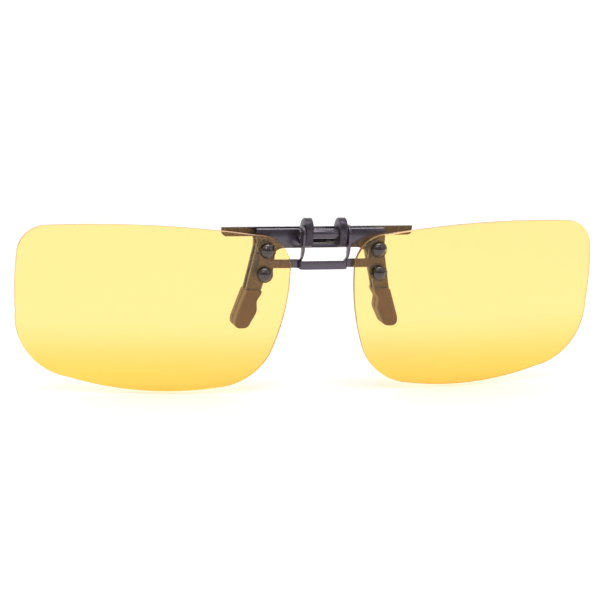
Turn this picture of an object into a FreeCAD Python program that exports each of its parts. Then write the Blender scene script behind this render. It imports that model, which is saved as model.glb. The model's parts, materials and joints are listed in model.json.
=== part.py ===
import FreeCAD, Part
import math
import os

import Sketcher
from FreeCAD import Placement, Rotation, Vector

# Clip-on flip lenses: a spring clamp of two stamped jaws grips a pair of spectacles, and a pair of
# tinted lenses hangs in front of it on a flip hinge.
# Frame: +X to the wearer's left as seen from the front, -Y forward, +Z up, millimetres.
# The origin is the middle of the clamp: Y = 0 is the plane where the soft jaw tips meet, and Z = 0 is
# the lower edge of the clamp's front wall, where the spectacles' top edge stops.

SIZES = [
    # lenses
    ("lens_width", 61.9, "one lens, nose edge to outer edge"),
    ("lens_height", 38.3, "one lens, lowest to highest point"),
    ("nose_gap", 15.3, "clear width between the two lenses"),
    ("lens_top", 5.45, "highest point of the lenses above the clamp's lower edge"),
    ("lens_thickness", 1.1, "polycarbonate sheet"),
    ("lens_curve", 300.0, "radius of the common curve of both lenses"),
    ("frame_clear", 0.21, "clinch nuts ahead of the front wall's crown"),
    ("curve_drop", 13.5, "centre of that curve below the origin"),
    # lens fixings
    ("screw_spread", 13.55, "middle of a pair of lens screws from the middle plane"),
    ("screw_pitch", 5.45, "upper to lower lens screw"),
    ("screw_lean", 0.4, "lower screw further out than the upper one"),
    ("screw_drop", 2.72, "middle of the pair below the origin"),
    ("shank_radius", 0.6, "lens screw shank"),
    ("dome_radius", 1.55, "lens screw head"),
    ("dome_rise", 0.85, "lens screw head"),
    ("dome_rim", 0.12, "straight edge under the dome"),
    ("washer_radius", 1.9, "clear washer under the head"),
    ("front_washer", 0.3, "clear washer thickness"),
    ("rear_washer", 0.25, "gasket behind the lens"),
    ("seat_relief", 0.04, "flat gasket off the hollow back of the lens at the middle"),
    ("nut_radius", 1.15, "clinch nut"),
    ("nut_height", 0.3, "clinch nut"),
    ("hole_play", 0.05, "lens hole beyond the shank, on the radius"),
    # lens bridge
    ("bridge_sheet", 0.5, "bridge strip"),
    ("bridge_height", 1.96, "bridge strip"),
    ("bridge_drop", 2.29, "top of the strip below the origin"),
    ("bridge_jog", 2.04, "middle of the strip ahead of its end plates"),
    ("bend_radius", 0.5, "inner radius of the strip's bends"),
    ("plate_radius", 2.1, "end plate round each lens screw"),
    # flip hinge
    ("eyelet_clear", 0.15, "arms' eyelets ahead of the front wall's crown"),
    ("hinge_up", 3.85, "flip axis above the origin"),
    ("axle_radius", 0.6, "flip axle"),
    ("axle_head", 1.05, "head and cap of the axle, radius"),
    ("axle_head_height", 0.45, "head and cap of the axle"),
    ("running_fit", 0.03, "axle or pin in its bore, on the radius"),
    ("lug_gap", 6.4, "between the two hinge lugs"),
    ("lug_thickness", 1.75, "hinge lug"),
    ("lug_front", 1.7, "lug ahead of the flip axis"),
    ("lug_rise", 3.6, "lug above the flip axis"),
    ("barrel_radius", 1.15, "spacer barrel between the lugs"),
    ("friction_washer", 0.25, "between lug and arm"),
    ("eyelet_radius", 2.1, "arm round the flip axis"),
    ("arm_width", 1.5, "arm below its eyelet"),
    # jaws
    ("jaw_sheet", 0.8, "spring steel of both jaws"),
    ("jaw_gap", 1.4, "between the two sheets, closed"),
    ("wall_width", 30.6, "front jaw"),
    ("wall_height", 4.38, "front jaw"),
    ("wall_crown", 0.35, "how far the front wall bulges"),
    ("lip_height", 0.92, "front wall left under the window"),
    ("bar_width", 45.8, "rear jaw, over its wings"),
    ("bar_bottom", 0.55, "lower edge of the rear bar between its wings"),
    ("wing_bottom", 2.3, "lower edge of each wing"),
    ("bar_top", 4.42, "upper edge of the rear bar"),
    ("bar_crown", 0.35, "how far the rear bar is hollowed"),
    ("wing_corner", 1.2, "rounded lower corner of each wing"),
    ("leg_top_width", 5.3, "leg where it leaves the wall"),
    ("leg_width", 3.6, "leg at the sleeve"),
    ("leg_lean", 1.9, "how far a leg leans outward down to the sleeve"),
    ("leg_length", 9.6, "wall's lower edge to the sleeve"),
    ("leg_fillet", 2.3, "inner corner between wall and leg"),
    # clamp hinge
    ("pin_up", 1.5, "clamp pin above the origin"),
    ("pin_forward", 0.15, "clamp pin ahead of the jaw middle"),
    ("pin_radius", 0.4, "clamp pin"),
    ("pin_head", 0.62, "peened end of the clamp pin, radius"),
    ("pin_head_height", 0.3, "peened end of the clamp pin"),
    ("tab_thickness", 0.8, "side tab"),
    ("tab_clear", 0.09, "side tab short of the other jaw's sheet"),
    ("tab_play", 0.1, "between a front tab and a rear tab"),
    # clamp spring
    ("wire", 0.28, "spring wire"),
    ("coil_play", 0.07, "inside of the coil beyond the pin"),
    ("coil_pitch", 0.36, "turn to turn"),
    ("coil_turns", 9, "whole turns; there is half a turn more"),
    ("spring_reach", 1.9, "how far the spring's ends stand above the pin"),
    # sleeves
    ("sleeve_length", 8.8, "soft sleeve on each leg"),
    ("sleeve_lean", 2.55, "how far a sleeve leans outward over its length"),
    ("sleeve_front_wall", 1.0, "outside the sheet"),
    ("sleeve_grip_wall", 0.65, "between the sheet and the spectacles"),
    ("sleeve_side", 0.55, "beside the leg's tongue"),
    ("sleeve_round", 0.45, "outer edges of the sleeve"),
    ("tongue_length", 6.8, "leg inside the sleeve"),
]

doc = FreeCAD.newDocument("clip_on_flip_lenses")
sheet = doc.addObject("Spreadsheet::Sheet", "sizes")
for row, (alias, value, note) in enumerate(SIZES, start=1):
    sheet.set(f"A{row}", alias)
    sheet.set(f"B{row}", str(value))
    sheet.set(f"C{row}", note)
    sheet.setAlias(f"B{row}", alias)
doc.recompute()


def size(alias):
    """A driving size, in millimetres."""
    return float(sheet.get(alias))


def bind(thing, **bindings):
    """Bind properties of an object to formulas of the sheet's names."""
    names = sorted((alias for alias, _, _ in SIZES), key=len, reverse=True)
    for prop, formula in bindings.items():
        words = formula.replace("(", " ( ").replace(")", " ) ").split()
        bound = " ".join(f"sizes.{word}" if word in names else word for word in words)
        thing.setExpression(prop.replace("__", "."), bound)


# ---------------------------------------------------------------- sketches and features
def plane(body, role):
    return next(item for item in body.Origin.OriginFeatures if item.Role == role)


def sketch_on(body, role, outlines, circles=(), level="0", turn=None):
    """A sketch on one of the body's planes, level along its normal.

    An outline is a start point and then steps: (x, y) is a line to there, and
    [(x, y), (x, y)] is an arc through the first point to the second.
    A circle is (centre, radius formula)."""
    sketch = body.newObject("Sketcher::SketchObject", "outline")
    sketch.AttachmentSupport = [(plane(body, role), "")]
    sketch.MapMode = "FlatFace"
    if turn is None:
        bind(sketch, AttachmentOffset__Base__z=level)
    else:
        sketch.AttachmentOffset = turn
    for outline in outlines:
        draw(sketch, outline)
    for centre, radius in circles:
        spot = sketch.addGeometry(Part.Circle(Vector(*centre), Vector(0, 0, 1), 1.0))
        rule = sketch.addConstraint(Sketcher.Constraint("Radius", spot, 1.0))
        bind(sketch, **{f"Constraints[{rule}]": radius})
    return sketch


def draw(sketch, outline):
    """Lines and arcs end to end round a closed outline, tied at every joint."""
    here = start = Vector(*outline[0])
    edges = []
    for step in outline[1:]:
        if isinstance(step, list):
            through, there = (Vector(*point) for point in step)
            edges.append((Part.Arc(here, through, there), here, there))
        else:
            there = Vector(*step)
            edges.append((Part.LineSegment(here, there), here, there))
        here = there
    if (here - start).Length > 1e-6:
        edges.append((Part.LineSegment(here, start), here, start))
    spots = [sketch.addGeometry(edge) for edge, _, _ in edges]
    for number, (_, begin, _) in enumerate(edges):
        before, after = spots[number - 1], spots[number]
        sketch.addConstraint(Sketcher.Constraint("Coincident", before, vertex_at(sketch, before, begin),
                                                 after, vertex_at(sketch, after, begin)))


def vertex_at(sketch, index, point):
    """Which end of an edge lies at a point: 1 for its start, 2 for its end."""
    return min((1, 2), key=lambda vertex: (sketch.getPoint(index, vertex) - point).Length)


def pad(body, sketch, length, symmetric=False):
    feature = body.newObject("PartDesign::Pad", "pad")
    feature.Profile = sketch
    bind(feature, Length=length)
    if symmetric:
        feature.SideType = "Symmetric"
    return feature


def pocket(body, sketch, depth=None, symmetric=False):
    """Cut along the sketch's reverse normal, right through when no depth is given."""
    feature = body.newObject("PartDesign::Pocket", "pocket")
    feature.Profile = sketch
    if depth is None:
        feature.Type = "ThroughAll"
    else:
        bind(feature, Length=depth)
    if symmetric:
        feature.SideType = "Symmetric"
    return feature


def new_body(label):
    body = doc.addObject("PartDesign::Body", label)
    body.Label = label
    return body


def mirrored(outline, side):
    """The outline as drawn for side 1, turned over for side -1."""
    def flip(point):
        return (side * point[0], point[1])
    return [[flip(point) for point in step] if isinstance(step, list) else flip(step)
            for step in outline]


def rounded(corners):
    """A closed outline of straight edges with a rounded corner at each (x, y, radius)."""
    steps = []
    for number, (x, y, radius) in enumerate(corners):
        corner = Vector(x, y)
        before = Vector(*corners[number - 1][:2]) - corner
        after = Vector(*corners[(number + 1) % len(corners)][:2]) - corner
        half = before.getAngle(after) / 2
        before.normalize()
        after.normalize()
        inward = (before + after).normalize()
        reach = radius / math.tan(half)
        nearest = corner + inward * (radius / math.sin(half) - radius)
        steps.append(tuple(corner + before * reach)[:2])
        steps.append([tuple(nearest)[:2], tuple(corner + after * reach)[:2]])
    return steps


SIDES = ((-1, "left"), (1, "right"))
parts = []


def keep(thing, label=None):
    """Note a finished sub-part; its label names its file."""
    if label:
        thing.Label = label
    parts.append(thing)
    return thing


def disc(radius, height, place, name="disc"):
    cylinder = doc.addObject("Part::Cylinder", name)
    bind(cylinder, Radius=radius, Height=height)
    cylinder.Placement = place
    return cylinder


def cut(base, tool, name="cut"):
    result = doc.addObject("Part::Cut", name)
    result.Base = base
    result.Tool = tool
    return result


def ring(outer, inner, height, place, name="ring"):
    return cut(disc(outer, height, place), disc(inner, height, place), name)


def along_x(start, forward, up):
    """Where a cylinder stands when it lies along X from a start, ahead of and above the origin."""
    return Placement(Vector(start, -forward, up), Rotation(Vector(0, 1, 0), 90))


# ---------------------------------------------------------------- distances ahead of the jaw middle
wall_front = size("jaw_gap") / 2 + size("jaw_sheet") + size("wall_crown")
hinge_forward = wall_front + size("eyelet_clear") + size("eyelet_radius")
tab_radius = size("jaw_gap") / 2 + size("pin_forward") - size("tab_clear")


# ---------------------------------------------------------------- the lenses' common curve
def curve_sag(x, z):
    """How far the lenses' front surface has fallen back at x and z from its foremost point."""
    across = x ** 2 + (z + size("curve_drop")) ** 2
    return size("lens_curve") - math.sqrt(size("lens_curve") ** 2 - across)


# from the foremost point back to the front wall: the lens and its fixings on top of one another
fixings = size("lens_thickness") + size("seat_relief") + size("rear_washer")
fixings += size("bridge_sheet") + size("nut_height")
lens_front = (wall_front + size("frame_clear") + fixings
              + curve_sag(size("screw_spread"), -size("screw_drop")))
curve_centre = Vector(0, size("lens_curve") - lens_front, -size("curve_drop"))


def curve_point(x, z):
    """The point of the lenses' front surface at x and z."""
    return Vector(x, curve_sag(x, z) - lens_front, z)


def screw_frame(side, x_in=0.0, z_up=0.0, level=0.0):
    """A frame square to the lens between its two screws.

    Its Z runs forward out of the lens, X to the side and Y up; level is along Z from the front of
    the lens, and x_in and z_up are along its X and Y."""
    middle = curve_point(side * size("screw_spread"), -size("screw_drop"))
    forward = (middle - curve_centre).normalize()
    up = (Vector(0, 0, 1) - forward * forward.z).normalize()
    across = up.cross(forward)
    turn = Rotation(across, up, forward, "ZYX")
    return Placement(middle + across * x_in + up * z_up + forward * level, turn)


def screw_spots(side):
    """Upper and lower screw of one lens, in its screw frame."""
    lean = side * size("screw_lean") / 2
    half = size("screw_pitch") / 2
    return (("upper", -lean, half), ("lower", lean, -half))


behind_lens = -size("lens_thickness") - size("seat_relief")
gasket_level = behind_lens - size("rear_washer")
plate_level = gasket_level - size("bridge_sheet")
nut_level = plate_level - size("nut_height")


def lens_outline(side):
    """Crowned top, tight outer upper corner, long outer sweep and wide inner corners."""
    nose = size("nose_gap") / 2
    outer = nose + size("lens_width")
    top = size("lens_top")
    bottom = top - size("lens_height")
    middle = nose + 0.5 * size("lens_width")
    return mirrored([
        (nose + 7.9, top - 2.05),
        [(middle + 4.0, top), (outer - 6.0, top - 0.7)],
        [(outer - 1.65, top - 3.2), (outer - 0.25, top - 6.6)],
        [(outer, top - 12.0), (outer - 0.4, top - 20.5)],
        [(outer - 3.9, bottom + 7.7), (outer - 12.4, bottom + 3.0)],
        [(middle, bottom), (nose + 15.0, bottom + 0.85)],
        [(nose + 8.1, bottom + 3.55), (nose + 3.75, bottom + 8.7)],
        [(nose + 1.15, bottom + 17.2), (nose + 0.05, top - 10.0)],
        [(nose + 2.5, top - 4.05), (nose + 7.9, top - 2.05)],
    ], side)


def lens(side, name):
    """A lens is its outline cut out of a shell of the common curve."""
    blank = new_body(f"{name}_lens_blank")
    margin = size("lens_thickness")
    far_corner = curve_sag(size("nose_gap") / 2 + size("lens_width"), size("lens_top") - size("lens_height"))
    outline = sketch_on(blank, "XZ_Plane", [lens_outline(side)], level=f"{lens_front + margin}")
    block = blank.newObject("PartDesign::Pad", "pad")
    block.Profile = outline
    block.Reversed = True
    block.Length = far_corner + size("lens_thickness") + 2 * margin
    front = doc.addObject("Part::Sphere", "front_curve")
    back = doc.addObject("Part::Sphere", "back_curve")
    bind(front, Radius="lens_curve")
    bind(back, Radius="lens_curve - lens_thickness")
    for ball in (front, back):
        ball.Placement = Placement(curve_centre, Rotation())
    shell = cut(front, back, "shell")
    pane = doc.addObject("Part::Common", "pane")
    pane.Base = blank
    pane.Tool = shell
    for _, x_in, z_up in screw_spots(side):
        drill_from = screw_frame(side, x_in, z_up, -2 * size("lens_thickness"))
        pane = cut(pane, disc("shank_radius + hole_play", "3 * lens_thickness", drill_from), "drilled")
    keep(pane, f"{name}_lens")


def lens_screw(side, x_in, z_up):
    """Shank clinched behind the end plate, and a domed head over the clear washer."""
    under_head = size("front_washer")
    rim = size("dome_rim")
    rise = size("dome_rise") - rim
    ball_radius = (size("dome_radius") ** 2 + rise ** 2) / (2 * rise)
    ball_centre = under_head + size("dome_rise") - ball_radius
    shank = disc("shank_radius", f"{under_head + rim - nut_level}",
                 Placement(Vector(0, 0, nut_level), Rotation()), "shank")
    blank = disc("dome_radius", "2 * dome_rise", Placement(Vector(0, 0, under_head), Rotation()), "blank")
    ball = doc.addObject("Part::Sphere", "ball")
    ball.Radius = ball_radius
    ball.Placement = Placement(Vector(0, 0, ball_centre), Rotation(Vector(0, 1, 0), 90))
    head = doc.addObject("Part::Common", "head")
    head.Base = blank
    head.Tool = ball
    screw = doc.addObject("Part::Fuse", "screw")
    screw.Base = shank
    screw.Tool = head
    screw.Placement = screw_frame(side, x_in, z_up)
    return screw


def lens_screws(side, name):
    """Screw, clear washer, gasket and clinch nut at both holes of a lens."""
    for height, x_in, z_up in screw_spots(side):
        keep(lens_screw(side, x_in, z_up), f"{name}_{height}_lens_screw")
        layers = (("clear_washer", "washer_radius", "front_washer", 0.0),
                  ("gasket", "washer_radius - 0.2", "rear_washer", gasket_level),
                  ("clinch_nut", "nut_radius", "nut_height", nut_level))
        for piece, radius, thickness, level in layers:
            place = screw_frame(side, x_in, z_up, level)
            keep(ring(radius, "shank_radius", thickness, place, piece), f"{name}_{height}_{piece}")


# ---------------------------------------------------------------- lens bridge
def plate_front(x):
    """How far ahead of the jaw middle the end plate's front face lies at x."""
    place = screw_frame(1, level=gasket_level)
    normal = place.Rotation.multVec(Vector(0, 0, 1))
    middle = place.Base
    return middle.y - (x - middle.x) * normal.x / normal.y


def bridge_reach():
    """Front face of the strip's middle, ahead of the jaw middle."""
    return size("bridge_jog") - plate_front(arm_inner())


def strip_plan():
    """Half of the strip seen from above: straight middle, side wall, outward flange."""
    thick = size("bridge_sheet")
    inner = size("bend_radius")
    outer = inner + thick
    wall = arm_inner() + thick
    front = -bridge_reach()
    flange_end = size("screw_spread") - size("plate_radius") * 0.7
    flange = plate_front(wall + inner)
    tip = plate_front(flange_end)
    slant = math.sqrt(0.5)
    return [
        (0, front), (wall - outer, front),
        [(wall - outer + outer * slant, front + outer * (1 - slant)), (wall, front + outer)],
        (wall, flange - inner),
        [(wall + inner * (1 - slant), flange - inner * (1 - slant)), (wall + inner, flange)],
        (flange_end, tip), (flange_end, tip + thick), (wall + inner, flange + thick),
        [(wall - thick + outer * (1 - slant), flange + thick - outer * (1 - slant)),
         (wall - thick, flange + thick - outer)],
        (wall - thick, front + outer),
        [(wall - thick - inner * (1 - slant), front + thick + inner * (1 - slant)),
         (wall - outer, front + thick)],
        (0, front + thick),
    ]


def arm_inner():
    """Inner face of a flip arm: outside the lug and its friction washer."""
    return size("lug_gap") / 2 + size("lug_thickness") + size("friction_washer")


def arm_side():
    """An arm seen from the side: eyelet above, curving back down into the strip's side wall."""
    forward = -hinge_forward
    up = size("hinge_up")
    radius = size("eyelet_radius")
    front = -bridge_reach() + size("bend_radius") + size("bridge_sheet")
    back = plate_front(arm_inner())
    top = -size("bridge_drop")
    foot = top - 0.5 * size("bridge_height")
    face = forward - radius
    rear = face + size("arm_width")
    slant = math.sqrt(0.5)
    dip = math.sqrt(radius ** 2 - (rear - forward) ** 2)
    return [
        (face, up), [(forward, up + radius), (forward + radius, up)],
        [(forward + radius * slant, up - radius * slant), (rear, up - dip)],
        (rear, top + 1.6), [(rear + (back - rear) * 0.3, top + 0.45), (back, top)],
        (back, foot), (front, foot), (front, top),
        [(face + (front - face) * 0.3, top + 1.3), (face, top + 2.9)],
    ]


def lens_bridge():
    body = new_body("lens_bridge")
    half = strip_plan()
    reverse = reversed_outline(mirrored(half, -1))
    plan = sketch_on(body, "XY_Plane", [half + reverse[1:]],
                     level="0 - bridge_drop - bridge_height")
    pad(body, plan, "bridge_height")
    for side, _ in SIDES:
        spots = screw_spots(side)
        place = screw_frame(side, level=plate_level)
        # an XZ plane's own X, Y and normal are the world's X, Z and -Y
        own = Placement(Vector(), Rotation(Vector(1, 0, 0), 90))
        face = sketch_on(body, "XZ_Plane", [end_plate(side)],
                         turn=own.inverse().multiply(place),
                         circles=[((x_in, z_up, 0), "shank_radius") for _, x_in, z_up in spots])
        pad(body, face, "bridge_sheet")
        start = arm_inner() if side > 0 else -arm_inner() - size("bridge_sheet")
        arm = sketch_on(body, "YZ_Plane", [arm_side()], level=f"{start}",
                        circles=[((-hinge_forward, size("hinge_up"), 0), "axle_radius")])
        pad(body, arm, "bridge_sheet")
    keep(body)


def reversed_outline(outline):
    """The same outline walked the other way."""
    steps = []
    here = outline[0]
    for step in outline[1:]:
        through, there = step if isinstance(step, list) else (None, step)
        steps.append((here, through))
        here = there
    walked = [here]
    for back_to, through in reversed(steps):
        walked.append([through, back_to] if through else back_to)
    return walked


def end_plate(side):
    """Round the two screws, waisted between them on the outer side."""
    (_, upper_x, upper_y), (_, lower_x, lower_y) = screw_spots(side)
    radius = size("plate_radius")
    upper_x, lower_x = upper_x * side, lower_x * side
    waist = 0.25 * radius
    return mirrored([
        (upper_x - radius, upper_y), [(upper_x, upper_y + radius), (upper_x + radius, upper_y)],
        [(upper_x + radius - waist, 0), (lower_x + radius, lower_y)],
        [(lower_x, lower_y - radius), (lower_x - radius, lower_y)],
    ], side)


# ---------------------------------------------------------------- flip hinge
def hinge_lug(side, name):
    """A D-shaped lug: it stands on the window's lip and backs onto the front wall's cut edge."""
    body = new_body(f"{name}_hinge_lug")
    forward = -hinge_forward
    up = size("hinge_up")
    front = forward - size("lug_front")
    back = sheet_back()
    top = up + size("lug_rise")
    foot = size("lip_height")
    toe = 1.2
    outline = [
        (back, foot), (back, top - 3.1), [(back - 0.75, top - 1.1), (back - 2.7, top)],
        [(front + 0.75, top - 0.75), (front, top - 2.4)], (front, foot + toe),
        [(front + 0.35 * toe, foot + 0.35 * toe), (front + toe, foot)],
    ]
    start = size("lug_gap") / 2 if side > 0 else -size("lug_gap") / 2 - size("lug_thickness")
    face = sketch_on(body, "YZ_Plane", [outline], level=f"{start}",
                     circles=[((forward, up, 0), "axle_radius + running_fit")])
    pad(body, face, "lug_thickness")
    keep(body)


def flip_hinge():
    forward, up = hinge_forward, size("hinge_up")
    reach = arm_inner() + size("bridge_sheet")
    lug = size("lug_gap") / 2
    outside = lug + size("lug_thickness")
    barrel = ring("barrel_radius", "axle_radius + running_fit", "lug_gap",
                  along_x(-lug, forward, up), "barrel")
    keep(barrel, "hinge_barrel")
    for side, name in SIDES:
        start = outside if side > 0 else -outside - size("friction_washer")
        washer = ring("barrel_radius + 0.4", "axle_radius", "friction_washer",
                      along_x(start, forward, up), "washer")
        keep(washer, f"{name}_friction_washer")
    rod = disc("axle_radius", "lug_gap + 2 * lug_thickness + 2 * friction_washer + 2 * bridge_sheet",
               along_x(-reach, forward, up), "rod")
    head = disc("axle_head", "axle_head_height",
                along_x(-reach - size("axle_head_height"), forward, up), "head")
    axle = doc.addObject("Part::Fuse", "axle")
    axle.Base = rod
    axle.Tool = head
    keep(axle, "flip_axle")
    keep(disc("axle_head", "axle_head_height", along_x(reach, forward, up), "cap"), "axle_cap")


# ---------------------------------------------------------------- jaws
def sheet_back():
    """Back face of the front jaw's sheet."""
    return -size("jaw_gap") / 2


def leg_edges(top):
    """Outer and inner edge of a leg from a height down to the sleeve."""
    outer = size("wall_width") / 2
    foot = -size("leg_length")
    foot_outer = outer + size("leg_lean")
    return (outer, top), (outer, 0), (foot_outer, foot), (foot_outer - size("leg_width"), foot)


def leg_outline(side, under, top):
    """A leg with its tongue, from a top down; its inner corner is rounded under the wall's edge."""
    start, bend, outer_foot, inner_foot = leg_edges(top)
    corner = size("wall_width") / 2 - size("leg_top_width")
    fillet = size("leg_fillet")
    end = outer_foot[1] - size("tongue_length")
    lean = size("sleeve_lean") * size("tongue_length") / size("sleeve_length")
    shoulder_out = outer_foot[0] - size("sleeve_side")
    shoulder_in = inner_foot[0] + size("sleeve_side")
    tip = (shoulder_out - shoulder_in) / 2
    return mirrored([
        start, bend, outer_foot, (shoulder_out, outer_foot[1]), (shoulder_out + lean, end + tip),
        [(shoulder_in + tip + lean, end), (shoulder_in + lean, end + tip)],
        (shoulder_in, inner_foot[1]), inner_foot, (corner + 0.7 * fillet, under - fillet),
        [(corner + 0.34 * fillet, under - 0.36 * fillet), (corner - 0.4 * fillet, under)],
        (corner - 0.4 * fillet, top)], side)


def leg_root():
    """How far a front leg laps up onto the wall: to just under the rear jaw's side tab."""
    return size("pin_up") - tab_radius - size("tab_play")


def tab_outline(sheet_face, toward):
    """A side tab from a sheet's inner face round the clamp pin."""
    centre_y, centre_z = -size("pin_forward"), size("pin_up")
    radius = tab_radius
    far = centre_y + toward * radius
    return [
        (sheet_face, centre_z + radius), (centre_y, centre_z + radius),
        [(far, centre_z), (centre_y, centre_z - radius)], (sheet_face, centre_z - radius),
    ]


def pin_bore(body):
    hole = sketch_on(body, "YZ_Plane", [], level="0 - wall_width",
                     circles=[((-size("pin_forward"), size("pin_up"), 0), "pin_radius + running_fit")])
    drill = pocket(body, hole)
    drill.Reversed = True
    return drill


def side_tabs(body, outer_face, outline):
    """A tab on each side, its outer face at a distance from the middle."""
    for side, _ in SIDES:
        start = outer_face - size("tab_thickness") if side > 0 else -outer_face
        pad(body, sketch_on(body, "YZ_Plane", [outline], level=f"{start}"), "tab_thickness")


def wall_section(front, back, bottom, top, crown):
    middle = (bottom + top) / 2
    return [(front, bottom), [(front + crown, middle), (front, top)], (back, top),
            [(back + crown, middle), (back, bottom)]]


def front_jaw():
    body = new_body("front_jaw_plate")
    back = sheet_back()
    face = back - size("jaw_sheet")
    section = wall_section(face, back, 0, size("wall_height"), -size("wall_crown"))
    pad(body, sketch_on(body, "YZ_Plane", [section]), "wall_width", symmetric=True)
    for side, _ in SIDES:
        leg = sketch_on(body, "XZ_Plane", [leg_outline(side, 0, leg_root())], level="jaw_gap / 2")
        pad(body, leg, "jaw_sheet")
    root = back - size("wall_crown")
    side_tabs(body, size("wall_width") / 2, tab_outline(root, 1))
    pin_bore(body)
    window = size("lug_gap") / 2 + size("lug_thickness")
    lip = size("lip_height")
    above = size("wall_height") + 1
    opening = sketch_on(body, "XZ_Plane", [[(-window, lip), (window, lip), (window, above),
                                            (-window, above)]], level="jaw_gap + 2 * jaw_sheet")
    pocket(body, opening)
    keep(body)


def rear_jaw():
    body = new_body("rear_jaw_plate")
    face = -sheet_back()
    back = face + size("jaw_sheet")
    bottom, top = size("bar_bottom"), size("bar_top")
    section = wall_section(face, back, bottom, top, size("bar_crown"))
    pad(body, sketch_on(body, "YZ_Plane", [section]), "bar_width", symmetric=True)
    for side, _ in SIDES:
        leg = sketch_on(body, "XZ_Plane", [leg_outline(side, bottom, (bottom + top) / 2)],
                        level="0 - jaw_gap / 2 - jaw_sheet")
        pad(body, leg, "jaw_sheet")
    inside = size("wall_width") / 2 - size("tab_thickness") - size("tab_play")
    side_tabs(body, inside, tab_outline(face + size("bar_crown"), -1))
    pin_bore(body)
    root = size("wall_width") / 2
    end = size("bar_width") / 2
    under = size("wing_bottom")
    corner = size("wing_corner")
    slant = math.sqrt(0.5)
    for side, _ in SIDES:
        chip = mirrored([
            (end + 1, bottom - 1), (root + 1, bottom - 1), (root, bottom), (root, under - 0.5),
            [(root + 0.15, under - 0.15), (root + 0.5, under)], (end - corner, under),
            [(end - corner * (1 - slant), under + corner * (1 - slant)), (end, under + corner)],
            (end + 1, under + corner)], side)
        pocket(body, sketch_on(body, "XZ_Plane", [chip]))
    keep(body)


def clamp_pin():
    reach = size("wall_width") / 2
    forward, up = size("pin_forward"), size("pin_up")
    rod = disc("pin_radius", "wall_width", along_x(-reach, forward, up), "rod")
    ends = [disc("pin_head", "pin_head_height", along_x(start, forward, up), "end")
            for start in (-reach - size("pin_head_height"), reach)]
    pin = doc.addObject("Part::MultiFuse", "pin")
    pin.Shapes = [rod] + ends
    keep(pin, "clamp_pin")


def clamp_spring():
    """A torsion spring round the clamp pin that pushes the tops of the jaws apart.

    One end stands up and turns aside behind a hinge lug, and the other leans on the rear bar."""
    pitch, wire = size("coil_pitch"), size("wire")
    radius = size("pin_radius") + size("coil_play") + wire / 2
    length = pitch * (size("coil_turns") + 0.5)
    left, right = -length / 2, length / 2
    pin_y, pin_z = -size("pin_forward"), size("pin_up")
    high = pin_z + size("spring_reach")
    section = Part.Wire(Part.Circle(Vector(radius, 0, 0), Vector(0, 1, 0), wire / 2).toShape())
    coil = Part.Wire(Part.makeHelix(pitch, length, radius).Edges).makePipeShell([section], True, True)
    coil.rotate(Vector(), Vector(0, 0, 1), -90)
    coil.rotate(Vector(), Vector(0, 1, 0), 90)
    coil.translate(Vector(left, pin_y, pin_z))
    behind_lug = sheet_back() + wire / 2
    on_bar = -sheet_back() + 0.75 * size("bar_crown") - wire / 2
    lug_middle = -(size("lug_gap") + size("lug_thickness")) / 2
    front_end = [Vector(left, pin_y - radius, pin_z), Vector(left, behind_lug, high - 0.8),
                 Vector(lug_middle, behind_lug, high)]
    rear_end = [Vector(right, pin_y + radius, pin_z), Vector(right, on_bar, high)]
    # the wire is a little fuller where it bends
    knee_swell = 1.04
    pieces = []
    for run in (front_end, rear_end):
        for here, there in zip(run, run[1:]):
            along = there - here
            pieces.append(Part.makeCylinder(wire / 2, along.Length, here, along))
        for knee in run:
            pieces.append(Part.makeSphere(wire / 2 * knee_swell, knee))
    feature = doc.addObject("Part::Feature", "clamp_spring")
    feature.Shape = coil.fuse(pieces)
    keep(feature, "clamp_spring")


def sleeve_outline(side):
    """A soft sleeve: small lip at the top, a waist, a fuller lower half and a rounded tip."""
    _, _, outer_foot, inner_foot = leg_edges(0)
    top = outer_foot[1]
    length = size("sleeve_length")
    lean = size("sleeve_lean")

    def inner(share, out, radius):
        """Out from the leg's inner edge carried on down, at a share of the sleeve's length."""
        return (inner_foot[0] + lean * share + out, top - length * share, radius)
    return mirrored(rounded([
        inner(0, -0.1, 0.2), inner(0.1, -0.2, 0.35), inner(0.28, 0.35, 1.2), inner(0.56, -0.6, 2.2),
        inner(1, 0.3, 1.3), inner(1.02, 3.4, 1.3), inner(0.78, 4.0, 0.8),
        (outer_foot[0] + 0.1, top, 0.2)]), side)


def sleeves(jaw, near_side):
    """Sleeves of one jaw; near_side is -1 for the front jaw and 1 for the rear one."""
    grip = size("jaw_gap") / 2 - size("sleeve_grip_wall")
    depth = "sleeve_grip_wall + jaw_sheet + sleeve_front_wall"
    for side, name in SIDES:
        body = new_body(f"{jaw}_{name}_sleeve")
        full = size("sleeve_grip_wall") + size("jaw_sheet") + size("sleeve_front_wall")
        level = grip if near_side < 0 else -grip - full
        solid = pad(body, sketch_on(body, "XZ_Plane", [sleeve_outline(side)], level=f"{level}"), depth)
        doc.recompute()
        outside = grip + full
        rim = [f"Edge{number}" for number, edge in enumerate(solid.Shape.Edges, start=1)
               if all(abs(abs(vertex.Y) - outside) < 1e-6 for vertex in edge.Vertexes)]
        soften = body.newObject("PartDesign::Fillet", "fillet")
        soften.Base = (solid, rim)
        bind(soften, Radius="sleeve_round")
        slot_level = "jaw_gap / 2 + jaw_sheet" if near_side < 0 else "0 - jaw_gap / 2"
        slot = sketch_on(body, "XZ_Plane", [leg_outline(side, 0, leg_root())], level=slot_level)
        pocket(body, slot, "jaw_sheet")
        keep(body)


# ---------------------------------------------------------------- the whole clip-on
front_jaw()
rear_jaw()
clamp_pin()
clamp_spring()
sleeves("front", -1)
sleeves("rear", 1)
for side, name in SIDES:
    hinge_lug(side, name)
flip_hinge()
lens_bridge()
for side, name in SIDES:
    lens(side, name)
    lens_screws(side, name)
doc.recompute()

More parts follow.
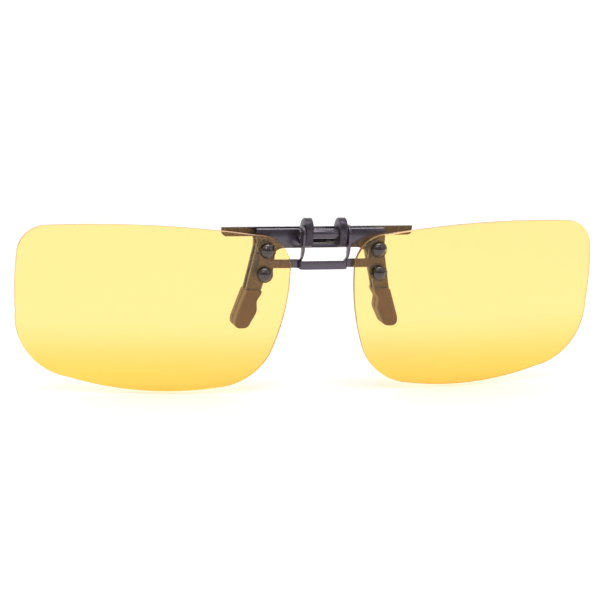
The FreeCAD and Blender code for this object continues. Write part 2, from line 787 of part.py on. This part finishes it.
failed = [thing.Label for thing in doc.Objects
          if "Invalid" in thing.State or "Error" in thing.State]
if failed:
    raise RuntimeError(f"not built: {failed}")
os.makedirs("parts", exist_ok=True)
for part in parts:
    shape = part.Shape
    if shape.isNull() or not shape.isValid() or shape.Volume <= 0:
        raise RuntimeError(f"bad shape: {part.Label}")
    shape.exportStep(f"parts/{part.Label}.step")
    print(f"{part.Label:28s} {shape.Volume:9.3f} mm3  solids {len(shape.Solids)}")
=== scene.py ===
import bpy
import json
import math
from mathutils import Matrix, Vector

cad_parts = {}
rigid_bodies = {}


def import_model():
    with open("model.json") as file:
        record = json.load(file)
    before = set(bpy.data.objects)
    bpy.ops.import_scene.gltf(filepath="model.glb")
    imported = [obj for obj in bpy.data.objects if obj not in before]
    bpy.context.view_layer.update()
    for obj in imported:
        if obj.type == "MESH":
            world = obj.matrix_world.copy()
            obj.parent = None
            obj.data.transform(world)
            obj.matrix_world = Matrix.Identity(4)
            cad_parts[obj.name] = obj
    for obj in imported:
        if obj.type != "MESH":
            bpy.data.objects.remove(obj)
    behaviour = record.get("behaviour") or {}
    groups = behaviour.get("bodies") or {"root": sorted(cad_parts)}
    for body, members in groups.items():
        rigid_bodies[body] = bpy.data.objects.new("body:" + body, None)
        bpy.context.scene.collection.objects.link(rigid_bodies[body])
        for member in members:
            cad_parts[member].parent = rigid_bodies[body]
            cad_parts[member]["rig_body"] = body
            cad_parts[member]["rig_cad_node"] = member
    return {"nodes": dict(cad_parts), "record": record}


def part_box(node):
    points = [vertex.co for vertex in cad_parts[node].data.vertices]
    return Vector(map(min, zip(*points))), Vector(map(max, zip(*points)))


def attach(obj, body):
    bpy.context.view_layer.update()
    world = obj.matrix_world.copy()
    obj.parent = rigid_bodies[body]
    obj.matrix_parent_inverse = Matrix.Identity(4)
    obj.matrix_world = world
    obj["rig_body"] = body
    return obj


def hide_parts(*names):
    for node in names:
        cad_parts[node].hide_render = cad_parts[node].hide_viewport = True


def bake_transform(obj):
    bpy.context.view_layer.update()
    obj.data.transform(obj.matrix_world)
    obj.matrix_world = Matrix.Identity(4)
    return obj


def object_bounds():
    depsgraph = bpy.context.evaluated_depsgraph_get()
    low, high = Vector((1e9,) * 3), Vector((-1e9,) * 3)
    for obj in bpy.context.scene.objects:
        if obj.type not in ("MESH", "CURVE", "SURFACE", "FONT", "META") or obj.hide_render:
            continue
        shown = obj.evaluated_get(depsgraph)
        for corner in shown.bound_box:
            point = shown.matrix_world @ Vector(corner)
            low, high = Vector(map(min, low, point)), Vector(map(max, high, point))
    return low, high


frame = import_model()
cad_low, cad_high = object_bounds()
nodes = frame["nodes"]
body_of_node = {node: body for body, members in frame["record"]["behaviour"]["bodies"].items()
                for node in members}
slot_of_node = {part["node"]: part["material_slot"] for part in frame["record"]["subparts"]}


# ---------------------------------------------------------------- shader helpers
def new_group(name, inputs, outputs):
    """An empty node group with float (f) or colour (c) sockets."""
    kinds = {"f": "NodeSocketFloat", "c": "NodeSocketColor"}
    group = bpy.data.node_groups.new(name, "ShaderNodeTree")
    for label, kind, value in inputs:
        socket = group.interface.new_socket(label, in_out="INPUT", socket_type=kinds[kind])
        socket.default_value = value
    for label, kind in outputs:
        group.interface.new_socket(label, in_out="OUTPUT", socket_type=kinds[kind])
    source = group.nodes.new("NodeGroupInput")
    sink = group.nodes.new("NodeGroupOutput")
    return group, source, sink


class Wiring:
    """Adds nodes to a tree and joins them in one line."""

    def __init__(self, tree):
        self.tree = tree

    def add(self, kind, settings=None, **links):
        node = self.tree.nodes.new(kind)
        for key, value in (settings or {}).items():
            setattr(node, key, value)
        for key, value in links.items():
            self.feed(node, key.replace("_", " "), value)
        return node

    def feed(self, node, key, value):
        socket = node.inputs[int(key)] if key.isdigit() else node.inputs[key]
        if isinstance(value, bpy.types.NodeSocket):
            self.tree.links.new(value, socket)
        else:
            socket.default_value = value

    def maths(self, operation, first, second=0.0, clamp=False):
        node = self.tree.nodes.new("ShaderNodeMath")
        node.operation = operation
        node.use_clamp = clamp
        self.feed(node, "0", first)
        self.feed(node, "1", second)
        return node.outputs[0]

    def mix(self, share, first, second):
        node = self.tree.nodes.new("ShaderNodeMix")
        node.data_type = "RGBA"
        self.feed(node, "0", share)
        self.feed(node, "6", first)
        self.feed(node, "7", second)
        return node.outputs[2]

    def noise(self, place, scale, detail=3.0, roughness=0.5):
        node = self.tree.nodes.new("ShaderNodeTexNoise")
        self.feed(node, "Vector", place)
        self.feed(node, "Scale", scale)
        self.feed(node, "Detail", detail)
        self.feed(node, "Roughness", roughness)
        return node.outputs[0]

    def spread(self, value, low, high, to_low=0.0, to_high=1.0):
        node = self.tree.nodes.new("ShaderNodeMapRange")
        self.feed(node, "Value", value)
        self.feed(node, "From Min", low)
        self.feed(node, "From Max", high)
        self.feed(node, "To Min", to_low)
        self.feed(node, "To Max", to_high)
        return node.outputs[0]


def plating_group():
    """Plated metal: cloudy tone, fine orange peel, and rubbed patches where fingers pinch it."""
    group, source, sink = new_group(
        "plating",
        [("Tone", "c", (0.05, 0.045, 0.055, 1)), ("Rubbed Tone", "c", (0.16, 0.15, 0.17, 1)),
         ("Roughness", "f", 0.3), ("Peel Scale", "f", 4000.0), ("Rub", "f", 0.4)],
        [("Color", "c"), ("Roughness", "f"), ("Height", "f")])
    w = Wiring(group)
    place = w.add("ShaderNodeTexCoord").outputs["Object"]
    cloud = w.noise(place, 260.0, 3.0)
    rub = w.spread(w.noise(place, 700.0, 5.0, 0.65), 0.52, 0.72)
    rubbed = w.maths("MULTIPLY", rub, source.outputs["Rub"], True)
    tone = w.mix(rubbed, source.outputs["Tone"], source.outputs["Rubbed Tone"])
    cloudy = w.mix(w.spread(cloud, 0.3, 0.7, 0.0, 0.12), tone, source.outputs["Rubbed Tone"])
    group.links.new(cloudy, sink.inputs["Color"])
    drift = w.spread(cloud, 0.3, 0.7, -0.03, 0.04)
    group.links.new(w.maths("ADD", source.outputs["Roughness"], drift, True), sink.inputs["Roughness"])
    peel = w.noise(place, source.outputs["Peel Scale"], 2.0)
    group.links.new(peel, sink.inputs["Height"])
    return group


def moulding_group():
    """Moulded soft plastic: fine skin, faint flow clouds and a dusting of lint."""
    group, source, sink = new_group(
        "moulding",
        [("Tone", "c", (0.07, 0.055, 0.05, 1)), ("Dust Tone", "c", (0.2, 0.19, 0.18, 1)),
         ("Roughness", "f", 0.5), ("Skin Scale", "f", 2500.0), ("Dust", "f", 0.3)],
        [("Color", "c"), ("Roughness", "f"), ("Height", "f")])
    w = Wiring(group)
    place = w.add("ShaderNodeTexCoord").outputs["Object"]
    flow = w.noise(place, 180.0, 2.0)
    lint = w.spread(w.noise(place, 3200.0, 6.0, 0.7), 0.62, 0.74)
    dusty = w.maths("MULTIPLY", lint, source.outputs["Dust"], True)
    toned = w.mix(dusty, source.outputs["Tone"], source.outputs["Dust Tone"])
    flowed = w.mix(w.spread(flow, 0.35, 0.7, 0.0, 0.25), toned, source.outputs["Dust Tone"])
    group.links.new(flowed, sink.inputs["Color"])
    drift = w.spread(flow, 0.3, 0.7, -0.07, 0.07)
    group.links.new(w.maths("ADD", source.outputs["Roughness"], drift, True), sink.inputs["Roughness"])
    group.links.new(w.noise(place, source.outputs["Skin Scale"], 3.0), sink.inputs["Height"])
    return group


PLATING = plating_group()
MOULDING = moulding_group()


def surfaced(name, group, values, bump, **plain):
    """A material that wears a group, with plain sockets on its own shader."""
    material = bpy.data.materials.new(name)
    material.use_nodes = True
    tree = material.node_tree
    shader = tree.nodes["Principled BSDF"]
    w = Wiring(tree)
    finish = tree.nodes.new("ShaderNodeGroup")
    finish.node_tree = group
    for key, value in values.items():
        finish.inputs[key].default_value = value
    strength, distance = bump
    relief = w.add("ShaderNodeBump", Strength=strength, Distance=distance,
                   Height=finish.outputs["Height"])
    tree.links.new(finish.outputs["Color"], shader.inputs["Base Color"])
    tree.links.new(finish.outputs["Roughness"], shader.inputs["Roughness"])
    tree.links.new(relief.outputs[0], shader.inputs["Normal"])
    for key, value in plain.items():
        shader.inputs[key.replace("_", " ")].default_value = value
    return material


def through_lamps(material, shader, tint):
    """Lets lamplight through a clear piece, so that it throws a tinted shade and no black one."""
    tree = material.node_tree
    w = Wiring(tree)
    clear = w.add("ShaderNodeBsdfTransparent", Color=tint)
    path = w.add("ShaderNodeLightPath")
    either = w.add("ShaderNodeMixShader")
    tree.links.new(path.outputs["Is Shadow Ray"], either.inputs[0])
    tree.links.new(shader.outputs[0], either.inputs[1])
    tree.links.new(clear.outputs[0], either.inputs[2])
    tree.links.new(either.outputs[0], tree.nodes["Material Output"].inputs["Surface"])


def tinted_sheet(name, top, low, z_top, z_low):
    """Tinted clear sheet whose colour deepens downwards."""
    material = bpy.data.materials.new(name)
    material.use_nodes = True
    tree = material.node_tree
    shader = tree.nodes["Principled BSDF"]
    w = Wiring(tree)
    coordinates = w.add("ShaderNodeTexCoord")
    parted = w.add("ShaderNodeSeparateXYZ", Vector=coordinates.outputs["Object"])
    deep = w.add("ShaderNodeMapRange", {"interpolation_type": "SMOOTHSTEP"}, Value=parted.outputs["Z"])
    for key, value in (("From Min", z_top), ("From Max", z_low), ("To Min", 0.0), ("To Max", 1.0)):
        deep.inputs[key].default_value = value
    haze = w.noise(coordinates.outputs["Object"], 90.0, 4.0, 0.6)
    tree.links.new(w.mix(deep.outputs[0], top, low), shader.inputs["Base Color"])
    tree.links.new(w.spread(haze, 0.45, 0.8, 0.0, 0.03), shader.inputs["Roughness"])
    shader.inputs["Transmission Weight"].default_value = 1.0
    shader.inputs["IOR"].default_value = 1.45
    through_lamps(material, shader, top)
    return material


def ground_edge():
    """The sheet's ground edge, where its colour gathers to a thin orange line."""
    material = bpy.data.materials.new("ground_lens_edge")
    material.use_nodes = True
    tree = material.node_tree
    shader = tree.nodes["Principled BSDF"]
    w = Wiring(tree)
    place = w.add("ShaderNodeTexCoord").outputs["Object"]
    scratch = w.noise(place, 1500.0, 4.0, 0.6)
    drift = w.noise(place, 28.0, 2.0)
    tone = w.mix(w.spread(drift, 0.35, 0.65), (0.62, 0.24, 0.05, 1), (0.78, 0.47, 0.16, 1))
    tree.links.new(tone, shader.inputs["Base Color"])
    tree.links.new(w.spread(scratch, 0.3, 0.7, 0.25, 0.5), shader.inputs["Roughness"])
    shader.inputs["Transmission Weight"].default_value = 0.55
    shader.inputs["IOR"].default_value = 1.45
    through_lamps(material, shader, (0.9, 0.6, 0.3, 1))
    return material


def clear_moulding():
    """Clear plastic of the washers under the screw heads."""
    material = bpy.data.materials.new("clear_washer_plastic")
    material.use_nodes = True
    shader = material.node_tree.nodes["Principled BSDF"]
    w = Wiring(material.node_tree)
    place = w.add("ShaderNodeTexCoord").outputs["Object"]
    cloud = w.noise(place, 900.0, 3.0)
    tone = w.mix(cloud, (0.66, 0.62, 0.55, 1), (0.8, 0.77, 0.7, 1))
    material.node_tree.links.new(tone, shader.inputs["Base Color"])
    material.node_tree.links.new(w.spread(cloud, 0.3, 0.7, 0.05, 0.16), shader.inputs["Roughness"])
    shader.inputs["Transmission Weight"].default_value = 1.0
    shader.inputs["IOR"].default_value = 1.4
    through_lamps(material, shader, (0.93, 0.93, 0.92, 1))
    return material


TINT_START = 0.0205      # below the lens's top, where its colour starts to deepen
TINT_END = 0.003         # above its lowest point, where it is deepest
lens_low, lens_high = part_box("left_lens")
MATERIALS = {
    "tinted_lens": tinted_sheet("yellow_lens_sheet", (1.0, 0.695, 0.243, 1), (1.0, 0.575, 0.096, 1),
                                lens_high.z - TINT_START, lens_low.z + TINT_END),
    "clear_plastic": clear_moulding(),
    "satin_black": surfaced("satin_black_plating", PLATING,
                            {"Tone": (0.098, 0.082, 0.106, 1), "Rubbed Tone": (0.18, 0.16, 0.19, 1),
                             "Roughness": 0.27, "Peel Scale": 5200.0, "Rub": 0.1},
                            (0.04, 0.00001), Metallic=0.8, Coat_Weight=0.15, Coat_Roughness=0.12),
    "polished_black": surfaced("gloss_black_plating", PLATING,
                               {"Tone": (0.026, 0.014, 0.013, 1), "Rubbed Tone": (0.06, 0.045, 0.045, 1),
                                "Roughness": 0.16, "Peel Scale": 6000.0, "Rub": 0.2},
                               (0.06, 0.00001), Metallic=0.1, Coat_Weight=0.8, Coat_Roughness=0.05),
    "cast_black": surfaced("grained_black_casting", PLATING,
                           {"Tone": (0.042, 0.033, 0.046, 1), "Rubbed Tone": (0.16, 0.135, 0.17, 1),
                            "Roughness": 0.34, "Peel Scale": 1500.0, "Rub": 0.45},
                           (0.6, 0.00009), Metallic=0.65),
    # spring wire: its own black finish, toned dark partly as painted shade for the recess behind the
    # window between the hinge lugs
    "spring_steel": surfaced("black_spring_wire_with_painted_recess_shade", PLATING,
                             {"Tone": (0.045, 0.035, 0.045, 1), "Rubbed Tone": (0.14, 0.12, 0.14, 1),
                              "Roughness": 0.25, "Peel Scale": 7000.0, "Rub": 0.3},
                             (0.08, 0.00001), Metallic=0.95),
    "soft_sleeve": surfaced("soft_vinyl_sleeve", MOULDING,
                            {"Tone": (0.115, 0.085, 0.08, 1), "Dust Tone": (0.19, 0.15, 0.14, 1),
                             "Roughness": 0.48, "Skin Scale": 2600.0, "Dust": 0.25},
                            (0.2, 0.00004), Sheen_Weight=0.15),
    "soft_gasket": surfaced("rubber_gasket", MOULDING,
                            {"Tone": (0.02, 0.02, 0.022, 1), "Dust Tone": (0.08, 0.08, 0.08, 1),
                             "Roughness": 0.6, "Skin Scale": 4000.0, "Dust": 0.2}, (0.2, 0.00002)),
    "nylon": surfaced("black_nylon", MOULDING,
                      {"Tone": (0.035, 0.035, 0.038, 1), "Dust Tone": (0.1, 0.1, 0.1, 1),
                       "Roughness": 0.42, "Skin Scale": 3600.0, "Dust": 0.15}, (0.15, 0.00002)),
}


# ---------------------------------------------------------------- modelling helpers
EASE_SEGMENTS = 3
SHARP_EDGE = 30.0        # degrees between two faces, past which their edge is eased
SAME_POINT = 1e-6


def deselect():
    """Leaves edit mode with nothing selected."""
    if bpy.context.object and bpy.context.object.mode != "OBJECT":
        bpy.ops.object.mode_set(mode="OBJECT")
    bpy.ops.object.select_all(action="DESELECT")


def pick(piece):
    """Makes a piece the only one selected."""
    deselect()
    piece.select_set(True)
    bpy.context.view_layer.objects.active = piece


def finish_piece(piece, node, body=None, smooth=30.0):
    """Smooth shading, material and the body that the piece rides on."""
    pick(piece)
    if smooth:
        bpy.ops.object.shade_smooth_by_angle(angle=math.radians(smooth))
    piece.data.materials.clear()
    piece.data.materials.append(MATERIALS[slot_of_node[node]])
    if body:
        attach(piece, body)
    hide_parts(node)


def worked_copy(node, name, bevel, flat=0.05):
    """The solid of a node with its loose triangles joined into faces and its sharp edges eased."""
    pick(nodes[node])
    bpy.ops.object.duplicate()
    piece = bpy.context.object
    piece.name = piece.data.name = name
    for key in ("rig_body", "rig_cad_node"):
        if key in piece:
            del piece[key]
    piece.parent = None
    bpy.ops.mesh.customdata_custom_splitnormals_clear()
    bpy.ops.object.mode_set(mode="EDIT")
    bpy.ops.mesh.select_mode(type="EDGE")
    bpy.ops.mesh.select_all(action="SELECT")
    bpy.ops.mesh.remove_doubles(threshold=SAME_POINT)
    bpy.ops.mesh.dissolve_limited(angle_limit=math.radians(flat))
    bpy.ops.object.mode_set(mode="OBJECT")
    if bevel:
        ease = piece.modifiers.new("ease", "BEVEL")
        ease.width = bevel
        ease.segments = EASE_SEGMENTS
        ease.limit_method = "ANGLE"
        ease.angle_limit = math.radians(SHARP_EDGE)
        ease.use_clamp_overlap = True
        bpy.ops.object.modifier_apply(modifier=ease.name)
    return piece


# ---------------------------------------------------------------- pieces
EASED = {   # how wide the eased edge of each piece is
    "front_jaw_plate": 0.00012, "rear_jaw_plate": 0.00012, "lens_bridge": 0.0001,
    "left_hinge_lug": 0.00016, "right_hinge_lug": 0.00016, "hinge_barrel": 0.00012,
    "flip_axle": 0.0001, "axle_cap": 0.0001, "clamp_pin": 0.00008,
}
for side in ("left", "right"):
    EASED[f"{side}_friction_washer"] = 0.00005
    for height in ("upper", "lower"):
        EASED[f"{side}_{height}_lens_screw"] = 0.00006
        EASED[f"{side}_{height}_clear_washer"] = 0.00008
        EASED[f"{side}_{height}_clinch_nut"] = 0.00006
        EASED[f"{side}_{height}_gasket"] = 0.00006
for node, width in EASED.items():
    finish_piece(worked_copy(node, f"{node}_eased", width), node, body_of_node[node])


HOLE_REACH = 0.0022      # kept clear of the rim's bevel around each screw hole
RIM_EASE = 0.00014
RIM_TILT = 0.55          # a rim face's normal leans less than this towards the front or back


def lens_pane(side):
    """A lens whose ground rim is eased all round; its two holes stay under their washers."""
    node = f"{side}_lens"
    pane = worked_copy(node, f"{node}_pane", 0, flat=0.01)
    boxes = [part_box(f"{side}_{height}_lens_screw") for height in ("upper", "lower")]
    holes = [(low + high) / 2 for low, high in boxes]
    bpy.ops.object.mode_set(mode="EDIT")
    bpy.ops.mesh.select_mode(type="EDGE")
    bpy.ops.mesh.select_all(action="DESELECT")
    bpy.ops.mesh.edges_select_sharp(sharpness=math.radians(50))
    bpy.ops.object.mode_set(mode="OBJECT")
    corners = pane.data.vertices
    weights = pane.data.attributes.new("bevel_weight_edge", "FLOAT", "EDGE")
    for edge in pane.data.edges:
        middle = (corners[edge.vertices[0]].co + corners[edge.vertices[1]].co) / 2
        clear = all((middle - hole).length > HOLE_REACH for hole in holes)
        weights.data[edge.index].value = float(edge.select and clear)
    ease = pane.modifiers.new("ease", "BEVEL")
    ease.limit_method = "WEIGHT"
    ease.width = RIM_EASE
    ease.segments = EASE_SEGMENTS
    ease.harden_normals = True
    bpy.ops.object.shade_smooth_by_angle(angle=math.radians(35.0))
    bpy.ops.object.modifier_apply(modifier=ease.name)
    finish_piece(pane, node, body_of_node[node], smooth=None)
    pane.data.materials.append(EDGE_MATERIAL)
    for face in pane.data.polygons:
        clear = all((face.center - hole).length > HOLE_REACH for hole in holes)
        face.material_index = int(clear and abs(face.normal.y) < RIM_TILT)


EDGE_MATERIAL = ground_edge()
for side in ("left", "right"):
    lens_pane(side)


SKIN_GRAIN = 0.00016     # voxel of the remeshed sleeve
GATE_RADIUS = 0.0003
GATE_DEPTH = 0.00016
GATE_INSET = 0.0021      # from the sleeve's outer side
GATE_HEIGHT = 0.0013     # above the sleeve's tip


def dish(piece, centre, radius, depth):
    """A small round gate mark pressed into the skin."""
    pick(piece)
    for share in (1.0, 0.6):
        bpy.ops.object.mode_set(mode="EDIT")
        bpy.ops.mesh.select_all(action="DESELECT")
        bpy.ops.object.mode_set(mode="OBJECT")
        for vertex in piece.data.vertices:
            vertex.select = (vertex.co - centre).length < radius * share
        bpy.ops.object.mode_set(mode="EDIT")
        bpy.ops.mesh.select_mode(type="VERT")
        bpy.ops.transform.translate(value=(0, depth / 2, 0))
        bpy.ops.object.mode_set(mode="OBJECT")


def soft_sleeve(node):
    """Skin of a sleeve, rounded all over as moulded vinyl is."""
    piece = worked_copy(node, f"{node}_skin", 0)
    skin = piece.modifiers.new("skin", "REMESH")
    skin.mode = "VOXEL"
    skin.voxel_size = SKIN_GRAIN
    bpy.ops.object.modifier_apply(modifier=skin.name)
    calm = piece.modifiers.new("calm", "SMOOTH")
    calm.factor = 0.5
    calm.iterations = 16
    bpy.ops.object.modifier_apply(modifier=calm.name)
    low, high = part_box(node)
    in_front = node.startswith("front")
    face, inward = (low.y, 1) if in_front else (high.y, -1)
    side_x, towards_middle = (low.x, 1) if "left" in node else (high.x, -1)
    gate = Vector((side_x + towards_middle * GATE_INSET, face, low.z + GATE_HEIGHT))
    dish(piece, gate, GATE_RADIUS, inward * GATE_DEPTH)
    finish_piece(piece, node, body_of_node[node], smooth=80.0)


for node in nodes:
    if node.endswith("sleeve"):
        soft_sleeve(node)

spring = worked_copy("clamp_spring", "clamp_spring_wire", 0)
finish_piece(spring, "clamp_spring", smooth=60.0)
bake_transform(spring)


# ---------------------------------------------------------------- floor, light and camera
FLOOR_GAP = 0.0006
LAMP_AIM = Vector((0, 0, -0.012))
LAMPS = (   # name, place, width and height, watts
    ("overhead", (-0.05, -0.12, 0.75), (0.6, 0.25), 2.4),
    ("key", (-0.30, -0.55, 0.55), (0.12, 0.09), 0.7),
    ("fill", (0.6, -0.6, 0.35), (0.4, 0.4), 0.4),
    ("back", (0.1, 0.6, 0.6), (0.8, 0.3), 0.8),
    ("low_back", (0.25, 0.9, 0.26), (1.6, 0.1), 1.3),
)


def studio():
    """Pale floor, soft lamps, and air that is brighter above and behind."""
    floor_level = cad_low.z - FLOOR_GAP
    deselect()
    bpy.ops.mesh.primitive_plane_add(size=6.0, location=(0, 0.8, floor_level))
    floor = bpy.context.object
    floor.name = "studio_floor"
    paper = bpy.data.materials.new("white_paper")
    paper.use_nodes = True
    shader = paper.node_tree.nodes["Principled BSDF"]
    w = Wiring(paper.node_tree)
    place = w.add("ShaderNodeTexCoord").outputs["Object"]
    fibre = w.mix(w.noise(place, 300.0, 4.0), (0.93, 0.93, 0.93, 1), (0.96, 0.96, 0.96, 1))
    paper.node_tree.links.new(fibre, shader.inputs["Base Color"])
    shader.inputs["Roughness"].default_value = 0.9
    floor.data.materials.append(paper)

    world = bpy.data.worlds.new("studio_air")
    world.use_nodes = True
    air = Wiring(world.node_tree)
    parted = air.add("ShaderNodeSeparateXYZ", Vector=air.add("ShaderNodeTexCoord").outputs["Generated"])
    lean = air.maths("ADD", parted.outputs["Z"], air.maths("MULTIPLY", parted.outputs["Y"], 0.6))
    glow = air.spread(lean, -0.3, 0.9, 0.2, 1.05)
    world.node_tree.links.new(glow, world.node_tree.nodes["Background"].inputs["Strength"])
    world.node_tree.nodes["Background"].inputs["Color"].default_value = (1, 1, 1, 1)
    bpy.context.scene.world = world
    bpy.context.scene.view_settings.view_transform = "Standard"

    for name, place, size, power in LAMPS:
        lamp = bpy.data.lights.new(name, "AREA")
        lamp.shape = "RECTANGLE"
        lamp.size, lamp.size_y = size
        lamp.energy = power
        holder = bpy.data.objects.new(name, lamp)
        holder.location = place
        holder.visible_camera = False
        holder.rotation_euler = (LAMP_AIM - Vector(place)).to_track_quat("-Z", "Y").to_euler()
        bpy.context.scene.collection.objects.link(holder)


def camera():
    """Camera before the lenses, a little to the left and above, slightly rolled."""
    azimuth, elevation, roll = math.radians(-18.85), math.radians(13.77), math.radians(3.65)
    distance = 0.7
    target = Vector((-0.004244, -0.00215, -0.01208))
    back = Vector((math.sin(azimuth) * math.cos(elevation), -math.cos(azimuth) * math.cos(elevation),
                   math.sin(elevation)))
    turn = (-back).to_track_quat("-Z", "Y").to_matrix().to_4x4() @ Matrix.Rotation(roll, 4, "Z")
    lens = bpy.data.cameras.new("camera")
    lens.sensor_width = 36.0
    lens.lens = 184.1
    lens.clip_start, lens.clip_end = 0.05, 20.0
    holder = bpy.data.objects.new("camera", lens)
    holder.matrix_world = Matrix.Translation(target + back * distance) @ turn
    bpy.context.scene.collection.objects.link(holder)
    bpy.context.scene.camera = holder


studio()
camera()
